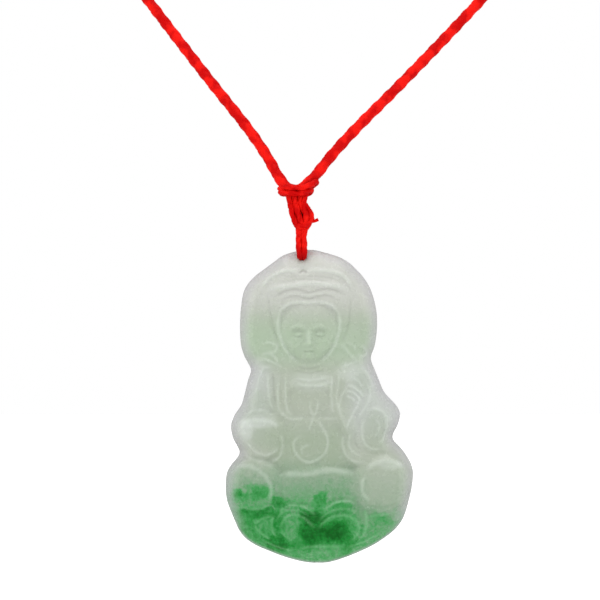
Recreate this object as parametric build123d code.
from build123d import *
import math
import os
import numpy as np

# A carved jade guanyin pendant on a red braided neck cord, as it hangs on a neck.
# The origin is at the nape, on the inner side of the knot there. Front is -Y, up is +Z, right is +X.

# Driving dimensions of the cord and thread, in millimetres
CORD_DIA = 1.8
THREAD_DIA = 1.6
SEAT_GAP = 0.05
NAPE_KNOT_DIA = 4.8
NAPE_KNOT_LENGTH = 12.0
NAPE_KNOT_ROUND_SHARE = 0.2

# Driving dimensions of the short loop and its knots
LOOP_RISE = 4.8
STRAND_SPREAD = 1.5
KNOT_WIDTH = 4.2
KNOT_DEPTH = 5.0
KNOT_HEIGHT = 4.0
KNOT_BALL_SHARE = 0.72
TAIL_DIA = 0.9
TAIL_LENGTH = 0.7
HITCH_RISE = 2.8
HITCH_WIDTH = 4.9
HITCH_WRAP = 1.2
HITCH_FOOT = 3.4
HITCH_ROUND = 0.5

# Driving dimensions of the stone
JADE_HEIGHT = 50.0
JADE_WIDTH = 30.2
PLATE_THICK = 3.4
EYE_THICK = 4.0
EYE_PAD = 2.4
EYE_FADE = 4.8
RELIEF = 4.6
VALLEY_SHARE = 0.12
RIM_ROUND = 1.5
RIM_DROP = 1.0
BACK_ROUND = 1.0
HOLE_GAP = 0.3
HOLE_DROP = 1.6
HOLE_SHIFT = 0.8
CARVING_STEP = 0.55
POLISH_PASSES = 3
SURFACE_TOLERANCE = 0.03
END_CROWD = 0.5

# Chosen points of the neck cord, from the nape knot's right face round the front to its left face.
# The hitch is tied round the short level run that starts at the point numbered HITCH_RUN.
CORD_ROUTE = [
    (NAPE_KNOT_LENGTH / 2, NAPE_KNOT_DIA / 2, 0.0),
    (20.5, NAPE_KNOT_DIA / 2, 0.0),
    (43.0, -7.5, -4.5),
    (62.5, -28.0, -15.5),
    (75.0, -55.0, -37.0),
    (77.5, -80.0, -67.0),
    (70.0, -99.0, -99.5),
    (42.5, -114.0, -131.0),
    (18.9, -128.5, -155.1),
    (7.4, -135.0, -167.4),
    (2.5, -139.0, -174.7),
    (-2.5, -139.0, -175.3),
    (-6.1, -135.0, -167.4),
    (-15.6, -128.4, -155.1),
    (-34.0, -114.2, -131.0),
    (-56.5, -99.2, -100.0),
    (-67.5, -81.0, -70.0),
    (-72.0, -56.0, -40.0),
    (-62.5, -29.0, -17.0),
    (-43.5, -8.0, -4.5),
    (-20.5, NAPE_KNOT_DIA / 2, 0.0),
    (-NAPE_KNOT_LENGTH / 2, NAPE_KNOT_DIA / 2, 0.0),
]
HITCH_RUN = 10
ARC_SHARE = 0.45

# Places that follow from the route and the sizes above
HITCH = (Vector(*CORD_ROUTE[HITCH_RUN]) + Vector(*CORD_ROUTE[HITCH_RUN + 1])) * 0.5
HOLE_X = HITCH.X + HOLE_SHIFT
KNOT_TOP = HITCH.Z - HITCH_RISE
KNOT_FOOT = KNOT_TOP - KNOT_HEIGHT
HOLE_Z = KNOT_FOOT - LOOP_RISE
JADE_TOP = HOLE_Z + HOLE_DROP
JADE_BACK = HITCH.Y + EYE_THICK / 2
HOLE_DIA = THREAD_DIA + 2 * HOLE_GAP

# Sections of the stone from its top to its bottom: height below the top as a share of its height,
# and the left and right edges as shares of its width, right of the hole.
SECTIONS = [
    # down, left, right
    (0.000, -0.075, 0.128), (0.016, -0.115, 0.198), (0.032, -0.150, 0.246), (0.052, -0.195, 0.283),
    (0.084, -0.262, 0.331), (0.123, -0.308, 0.368), (0.181, -0.326, 0.395), (0.239, -0.331, 0.401),
    (0.297, -0.326, 0.390), (0.335, -0.308, 0.369), (0.355, -0.290, 0.372), (0.381, -0.272, 0.390),
    (0.413, -0.288, 0.411), (0.452, -0.304, 0.440), (0.490, -0.322, 0.497), (0.510, -0.342, 0.518),
    (0.529, -0.363, 0.523), (0.558, -0.379, 0.510), (0.587, -0.374, 0.486), (0.606, -0.363, 0.488),
    (0.626, -0.345, 0.518), (0.645, -0.333, 0.545), (0.665, -0.347, 0.566), (0.684, -0.374, 0.582),
    (0.713, -0.401, 0.593), (0.761, -0.407, 0.585), (0.800, -0.400, 0.570), (0.839, -0.377, 0.552),
    (0.868, -0.357, 0.530), (0.897, -0.335, 0.491), (0.923, -0.300, 0.436), (0.945, -0.246, 0.379),
    (0.965, -0.170, 0.310), (0.981, -0.100, 0.246), (0.993, -0.035, 0.192), (1.000, 0.015, 0.150),
]

# Carved mounds: centre x and z and half sizes, as shares of the stone's width and height,
# and the rise as a share of the relief.
MOUNDS = [
    # name, x, z, half width, half height, rise
    ("veil top", 0.02, 0.150, 0.36, 0.150, 0.34),
    ("veil sides", 0.03, 0.280, 0.37, 0.190, 0.34),
    ("hair", 0.016, 0.160, 0.170, 0.085, 0.66),
    ("head", 0.027, 0.262, 0.150, 0.105, 0.80),
    ("neck", 0.040, 0.365, 0.105, 0.050, 0.52),
    ("chest", 0.043, 0.465, 0.230, 0.130, 0.62),
    ("left upper arm", -0.205, 0.425, 0.085, 0.090, 0.58),
    ("right shoulder", 0.300, 0.415, 0.090, 0.065, 0.52),
    ("belly", 0.053, 0.606, 0.220, 0.100, 0.70),
    ("left forearm", -0.225, 0.585, 0.145, 0.068, 0.76),
    ("raised hand and vase", 0.275, 0.484, 0.085, 0.090, 0.84),
    ("right forearm", 0.400, 0.570, 0.115, 0.075, 0.72),
    ("left knee", -0.260, 0.755, 0.160, 0.088, 0.90),
    ("right knee", 0.425, 0.742, 0.175, 0.098, 0.96),
    ("lap", 0.080, 0.742, 0.340, 0.088, 0.88),
    ("left petal", -0.053, 0.872, 0.110, 0.068, 0.64),
    ("right petal", 0.214, 0.872, 0.118, 0.068, 0.66),
    ("outer left petal", -0.225, 0.880, 0.095, 0.060, 0.56),
    ("outer right petal", 0.420, 0.866, 0.110, 0.062, 0.58),
    ("foot petal", 0.117, 0.962, 0.125, 0.034, 0.48),
]

# Carved ridges: half width as a share of the stone's width, rise as a share of the relief,
# and the points of the line. A rise below zero is a groove.
RIDGES = [
    # name, half width, rise, points
    ("crown band", 0.020, 0.11, ((-0.155, 0.100), (-0.075, 0.072), (0.0, 0.066), (0.096, 0.068), (0.182, 0.085))),
    ("hair band", 0.018, 0.09, ((-0.19, 0.125), (-0.075, 0.113), (0.043, 0.104), (0.182, 0.119), (0.224, 0.139))),
    ("left collar", 0.016, -0.10, ((-0.112, 0.385), (-0.112, 0.500), (-0.070, 0.530), (0.010, 0.535))),
    ("right collar", 0.016, -0.10, ((0.165, 0.385), (0.160, 0.470), (0.150, 0.530))),
    ("necklace", 0.014, 0.08, ((-0.040, 0.400), (0.048, 0.412), (0.136, 0.400))),
    ("hem", 0.013, 0.08, ((-0.070, 0.534), (0.200, 0.534))),
    ("sash knot", 0.022, 0.12, ((0.070, 0.500), (0.075, 0.535), (0.060, 0.568))),
    ("sash turn", 0.020, 0.12, (
        (0.075, 0.535), (0.135, 0.590), (0.130, 0.640), (0.070, 0.674), (-0.010, 0.664),
        (-0.045, 0.625), (-0.020, 0.594), (0.010, 0.600))),
    ("sleeve", 0.018, -0.12, ((0.224, 0.565), (0.214, 0.605), (0.230, 0.650), (0.300, 0.676), (0.380, 0.672))),
    ("wrist", 0.016, -0.10, ((0.330, 0.560), (0.345, 0.620), (0.400, 0.645), (0.455, 0.620))),
    ("left cuff", 0.016, -0.10, ((-0.310, 0.630), (-0.220, 0.655), (-0.140, 0.640), (-0.120, 0.600))),
    ("arm fold", 0.014, -0.08, ((-0.160, 0.375), (-0.165, 0.430), (-0.170, 0.500))),
    ("lap edge", 0.014, -0.14, ((-0.107, 0.785), (-0.075, 0.804), (0.032, 0.806), (0.110, 0.835))),
    ("lap shine", 0.020, 0.07, ((-0.107, 0.718), (0.080, 0.722), (0.280, 0.712))),
]

# The face, in shares of the head's half width and half height: calm and plain, with the eyes at mid
# height, the nose halfway from there to the chin and the mouth a third of the way below the nose.
# The veil's two edges mirror each other round it in a plain egg shape.
HEAD_X, HEAD_Z, HEAD_HALF_X, HEAD_HALF_Z = 0.027, 0.262, 0.150, 0.105
FACE = [
    # name, half width, rise, points
    ("left veil edge", 0.12, 0.12, ((-1.04, -0.60), (-1.08, -0.22), (-1.02, 0.15), (-0.85, 0.48), (-0.62, 0.75))),
    ("right veil edge", 0.12, 0.12, ((1.04, -0.60), (1.08, -0.22), (1.02, 0.15), (0.85, 0.48), (0.62, 0.75))),
    ("nose", 0.11, 0.10, ((0.0, 0.05), (0.0, 0.42))),
    ("left brow", 0.09, 0.05, ((-0.14, -0.10), (-0.34, -0.16), (-0.52, -0.08))),
    ("right brow", 0.09, 0.05, ((0.14, -0.10), (0.34, -0.16), (0.52, -0.08))),
    ("left lid", 0.09, 0.05, ((-0.18, 0.06), (-0.34, 0.10), (-0.48, 0.05))),
    ("right lid", 0.09, 0.05, ((0.18, 0.06), (0.34, 0.10), (0.48, 0.05))),
    ("mouth", 0.08, 0.06, ((-0.16, 0.60), (0.0, 0.62), (0.16, 0.60))),
    ("chin", 0.14, 0.06, ((-0.06, 0.86), (0.06, 0.86))),
]


def corner_radii(points):
    """Radius of each corner: as large as the shorter run beside it allows."""
    radii = []
    for before, here, after in zip(points, points[1:], points[2:]):
        run_in = Vector(*here) - Vector(*before)
        run_out = Vector(*after) - Vector(*here)
        half_turn = math.radians(run_in.get_angle(run_out)) / 2
        radii.append(ARC_SHARE * min(run_in.length, run_out.length) / math.tan(half_turn))
    return radii


def tube(points, radii, diameter):
    """Round tube along straight runs that are joined by tangent arcs."""
    path = FilletPolyline(*points, radius=radii)
    start = Plane(origin=path @ 0, z_dir=path % 0)
    return sweep(start * Circle(diameter / 2), path=path), path.length


def soft_max(first, second, blend):
    """Larger of two heights, with a small round valley where they meet."""
    gap = np.clip(blend - np.abs(first - second), 0, None)
    return np.maximum(first, second) + gap * gap / (4 * blend)


def line_distance(x, z, points):
    """Distance of each place from a line through the points."""
    nearest = np.full(x.shape, np.inf)
    for (ax, az), (bx, bz) in zip(points, points[1:]):
        run_x, run_z = bx - ax, bz - az
        share = ((x - ax) * run_x + (z - az) * run_z) / (run_x ** 2 + run_z ** 2)
        share = np.clip(share, 0, 1)
        nearest = np.minimum(nearest, np.hypot(x - ax - share * run_x, z - az - share * run_z))
    return nearest


def polish(thick):
    """Soften the creases of the carving, as tumbling and buffing do."""
    for _ in range(POLISH_PASSES):
        wide = np.pad(thick, 1, mode="edge")
        beside = wide[:-2, 1:-1] + wide[2:, 1:-1] + wide[1:-1, :-2] + wide[1:-1, 2:]
        thick = (4 * thick + beside) / 8
    return thick


def stone_place(share_x, share_z):
    """Place on the stone, in millimetres right of the hole and below the top."""
    return share_x * JADE_WIDTH, share_z * JADE_HEIGHT


def add_lines(lift, x, z, rows, centre, unit_x, unit_z):
    """Add the ridges and grooves of a table to the relief."""
    for _, half_width, rise, points in rows:
        line = [(centre[0] + px * unit_x, centre[1] + pz * unit_z) for px, pz in points]
        away = line_distance(x, z, line) / (half_width * unit_x)
        lift = lift + rise * RELIEF * np.exp(-away ** 2)
    return lift


def stone_thickness(x, z, edge_line):
    """Thickness of the carved stone at x right of the hole and z below its top."""
    lift = np.zeros(x.shape)
    for _, share_x, share_z, half_x, half_z, rise in MOUNDS:
        centre_x, centre_z = stone_place(share_x, share_z)
        away_x = (x - centre_x) / (half_x * JADE_WIDTH)
        away_z = (z - centre_z) / (half_z * JADE_HEIGHT)
        mound = rise * RELIEF * np.clip(1 - away_x ** 2 - away_z ** 2, 0, None)
        lift = soft_max(lift, mound, RELIEF * VALLEY_SHARE)
    lift = add_lines(lift, x, z, RIDGES, (0, 0), JADE_WIDTH, JADE_HEIGHT)
    lift = add_lines(
        lift, x, z, FACE, stone_place(HEAD_X, HEAD_Z),
        HEAD_HALF_X * JADE_WIDTH, HEAD_HALF_Z * JADE_HEIGHT)
    rim = np.clip(1 - line_distance(x, z, edge_line) / RIM_ROUND, 0, 1)
    thick = PLATE_THICK + lift - RIM_DROP * rim ** 2
    from_hole = np.hypot(x, z - HOLE_DROP)
    pad = np.clip(1 - (from_hole - EYE_PAD) / EYE_FADE, 0, 1)
    flat = np.minimum(thick, EYE_THICK)
    return thick + (flat - thick) * pad * pad * (3 - 2 * pad)


def edge_share(down, column):
    """Left or right edge of the stone at a height, on a smooth curve through the sections."""
    row = 0
    while row < len(SECTIONS) - 2 and SECTIONS[row + 1][0] < down:
        row += 1
    low, high = SECTIONS[row], SECTIONS[row + 1]
    before = SECTIONS[max(row - 1, 0)]
    after = SECTIONS[min(row + 2, len(SECTIONS) - 1)]
    run = high[0] - low[0]
    share = (down - low[0]) / run
    slope_low = (high[column] - before[column]) / (high[0] - before[0]) * run
    slope_high = (after[column] - low[column]) / (after[0] - low[0]) * run
    return (
        low[column] * (1 - share) ** 2 * (1 + 2 * share) + slope_low * share * (1 - share) ** 2
        + high[column] * share ** 2 * (3 - 2 * share) - slope_high * share ** 2 * (1 - share))


def stone_grid():
    """Places over the stone, row by row between its left and right edges, and its outline."""
    down = round(JADE_HEIGHT / CARVING_STEP)
    across = round(JADE_WIDTH / CARVING_STEP)
    heights = []
    for step in range(down + 1):
        share = step / down
        heights.append(END_CROWD * (1 - math.cos(math.pi * share)) / 2 + (1 - END_CROWD) * share)
    left = np.array([edge_share(height, 1) for height in heights]) * JADE_WIDTH
    right = np.array([edge_share(height, 2) for height in heights]) * JADE_WIDTH
    z = np.array(heights) * JADE_HEIGHT
    edge_line = list(zip(left, z)) + list(zip(right[::-1], z[::-1])) + [(left[0], z[0])]
    shares = np.linspace(0, 1, across + 1)
    grid_x = left[:, None] + (right - left)[:, None] * shares[None, :]
    grid_z = np.repeat(z[:, None], across + 1, axis=1)
    return grid_x, grid_z, edge_line


def stone_face(grid_x, grid_z, depth):
    """Smooth face through the places of the grid, each at its depth in front of the back."""
    rows = []
    for row_x, row_z, row_depth in zip(grid_x, grid_z, depth):
        rows.append([
            Vector(HOLE_X + px, JADE_BACK - pd, JADE_TOP - pz)
            for px, pz, pd in zip(row_x, row_z, row_depth)])
    return Face.make_surface_from_array_of_points(rows, tol=SURFACE_TOLERANCE, min_deg=3, max_deg=3)


def make_jade_pendant():
    """The stone: carved in front, flat behind with a rounded edge, and drilled near its top."""
    grid_x, grid_z, edge_line = stone_grid()
    rim = np.clip(1 - line_distance(grid_x, grid_z, edge_line) / BACK_ROUND, 0, 1)
    front = stone_face(grid_x, grid_z, polish(stone_thickness(grid_x, grid_z, edge_line)))
    back = stone_face(grid_x, grid_z, BACK_ROUND / 2 * rim ** 2)
    walls = []
    for front_edge in front.edges():
        middle = front_edge @ 0.5
        back_edge = min(back.edges(), key=lambda edge: (edge @ 0.5 - middle).length)
        walls.append(Face.make_surface_from_curves(front_edge, back_edge))
    stone = Solid(Shell([front, back, *walls]))
    drill = Plane(origin=(HOLE_X, JADE_BACK, HOLE_Z), z_dir=(0, 1, 0))
    return stone - drill * Cylinder(HOLE_DIA / 2, 4 * RELIEF)


def make_neck_cord():
    """The braided cord as one plain open tube, from the nape round the front and back."""
    radii = corner_radii(CORD_ROUTE)
    cord, length = tube(CORD_ROUTE, radii, CORD_DIA)
    print("neck cord radii", [round(radius, 1) for radius in radii])
    print("neck cord length", round(length, 1), "volume over section times length",
          round(cord.volume / (math.pi * CORD_DIA ** 2 / 4 * length), 4))
    return cord


def make_nape_knot():
    """Plain barrel that joins the two ends of the cord behind the neck."""
    right_end = Vector(*CORD_ROUTE[0])
    left_end = Vector(*CORD_ROUTE[-1])
    middle = (right_end + left_end) * 0.5
    barrel = Plane(origin=middle, z_dir=right_end - left_end) * Cylinder(
        NAPE_KNOT_DIA / 2, (right_end - left_end).length)
    return fillet(barrel.edges(), NAPE_KNOT_DIA * NAPE_KNOT_ROUND_SHARE)


def make_cord_hitch():
    """Turns of the thread round the cord, drawn together down to the knot."""
    wrap = CORD_DIA / 2 + SEAT_GAP + HITCH_WRAP
    over = Cylinder(wrap, HITCH_WIDTH)
    over = Plane(origin=HITCH, z_dir=(1, 0, 0)) * fillet(over.edges(), HITCH_ROUND)
    level = Plane(origin=HITCH)
    foot = Plane(origin=(HITCH.X, HITCH.Y, KNOT_TOP))
    legs = loft([
        level * RectangleRounded(HITCH_WIDTH - HITCH_ROUND, 2 * wrap - HITCH_ROUND, HITCH_ROUND),
        foot * RectangleRounded(HITCH_FOOT, HITCH_FOOT, HITCH_ROUND)])
    near = CORD_ROUTE[HITCH_RUN - 1:HITCH_RUN + 3]
    bore, _ = tube(near, corner_radii(near), CORD_DIA + 2 * SEAT_GAP)
    return over + legs - bore


def make_loop_knot():
    """Overhand knot of the thread, with its cut tail on the right."""
    middle = Vector(HOLE_X, HITCH.Y, KNOT_TOP - KNOT_HEIGHT / 2)
    ball = scale(Sphere(1), by=(KNOT_WIDTH / 2, KNOT_DEPTH / 2, KNOT_HEIGHT * KNOT_BALL_SHARE))
    slab = Box(2 * KNOT_WIDTH, 2 * KNOT_DEPTH, KNOT_HEIGHT)
    tail_reach = KNOT_WIDTH / 2 + TAIL_LENGTH
    tail = Rot(0, 90, 0) * Cylinder(TAIL_DIA / 2, tail_reach, align=(Align.CENTER, Align.CENTER, Align.MIN))
    return Pos(*middle) * (ball & slab) + Pos(*middle) * tail


def make_pendant_loop():
    """Thread through the stone's hole, with one strand in front of the stone and one behind."""
    half = THREAD_DIA / 2
    out = EYE_THICK / 2 + HOLE_GAP + half
    spread = STRAND_SPREAD * half
    bend = HOLE_GAP + half
    clear = HOLE_DROP + half
    slope = (out - spread) / (LOOP_RISE - clear)
    points = []
    for side in (-1, 1):
        strand = [
            (HOLE_X, HITCH.Y + side * (spread - slope * half), KNOT_FOOT + half),
            (HOLE_X, HITCH.Y + side * out, HOLE_Z + clear),
            (HOLE_X, HITCH.Y + side * out, HOLE_Z),
        ]
        points = points + (strand if side < 0 else strand[::-1])
    thread, _ = tube(points, [half, bend, bend, half], THREAD_DIA)
    above = Pos(HOLE_X, HITCH.Y, KNOT_FOOT + LOOP_RISE / 2) * Box(3 * out, 3 * out, LOOP_RISE)
    return thread - above


def main():
    os.makedirs("parts", exist_ok=True)
    pieces = {
        "jade_pendant": make_jade_pendant(),
        "neck_cord": make_neck_cord(),
        "nape_knot": make_nape_knot(),
        "cord_hitch": make_cord_hitch(),
        "loop_knot": make_loop_knot(),
        "pendant_loop": make_pendant_loop(),
    }
    for name, piece in pieces.items():
        export_step(piece, f"parts/{name}.step")


main()
